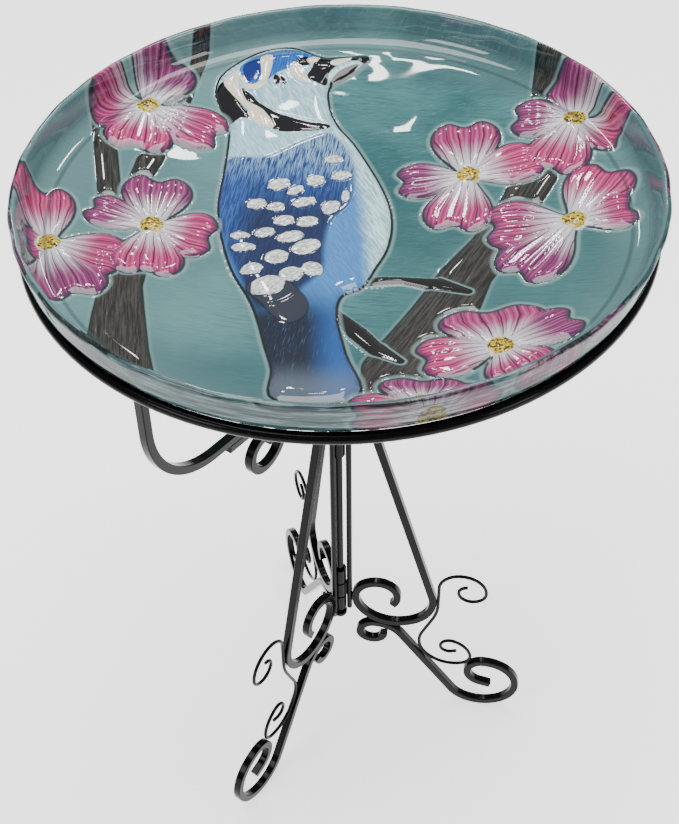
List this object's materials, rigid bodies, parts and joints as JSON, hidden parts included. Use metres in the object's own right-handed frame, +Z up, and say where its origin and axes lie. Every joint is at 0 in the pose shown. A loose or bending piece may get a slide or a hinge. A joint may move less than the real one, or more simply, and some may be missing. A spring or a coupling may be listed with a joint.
{
  "type": "bird bath",
  "caption": "Round embossed glass bird bath bowl in a steel ring on a folding stand of scrolled square bar legs.",
  "frame": {"origin": "on the floor, on the axis of the centre post, the middle of the object's base", "axes": "+Z up along the centre post; +X towards the right of the bowl, near leg 1; +Y towards the back, near leg 3"},
  "size_m": [0.4572, 0.4572, 0.64],
  "materials": {
    "painted_glass": "hand painted embossed glass, glossy",
    "black_paint": "gloss black enamel on steel bar"
  },
  "bodies": {
    "stand": {"centre_post": "black_paint", "post_top_cap": "black_paint", "post_bottom_cap": "black_paint", "leg_1_upright": "black_paint", "leg_1_ring_arm": "black_paint", "leg_1_corner_scroll": "black_paint", "leg_1_foot_scroll": "black_paint", "leg_1_tendril": "black_paint", "leg_1_stile": "black_paint", "leg_1_lower_sleeve": "black_paint", "leg_1_upper_sleeve": "black_paint"},
    "leg_2": {"leg_2_upright": "black_paint", "leg_2_ring_arm": "black_paint", "leg_2_corner_scroll": "black_paint", "leg_2_foot_scroll": "black_paint", "leg_2_tendril": "black_paint", "leg_2_stile": "black_paint", "leg_2_lower_sleeve": "black_paint", "leg_2_upper_sleeve": "black_paint"},
    "leg_3": {"leg_3_upright": "black_paint", "leg_3_ring_arm": "black_paint", "leg_3_corner_scroll": "black_paint", "leg_3_foot_scroll": "black_paint", "leg_3_tendril": "black_paint", "leg_3_stile": "black_paint", "leg_3_lower_sleeve": "black_paint", "leg_3_upper_sleeve": "black_paint"},
    "ring": {"support_ring": "black_paint"},
    "bowl": {"glass_bowl": "painted_glass"}
  },
  "joints": [
    {"name": "leg_2_swing", "type": "hinge", "parent": "stand", "child": "leg_2", "pos_m": [0, 0, 0.25], "axis": [0, 0, 1], "range_deg": [-10, 66]},
    {"name": "leg_3_swing", "type": "hinge", "parent": "stand", "child": "leg_3", "pos_m": [0, 0, 0.25], "axis": [0, 0, 1], "range_deg": [-73, 10]},
    {"name": "ring_lift", "type": "slide", "parent": "stand", "child": "ring", "axis": [0, 0, 1], "range_m": [0, 0.04]},
    {"name": "bowl_lift", "type": "slide", "parent": "ring", "child": "bowl", "axis": [0, 0, 1], "range_m": [0, 0.06]}
  ]
}
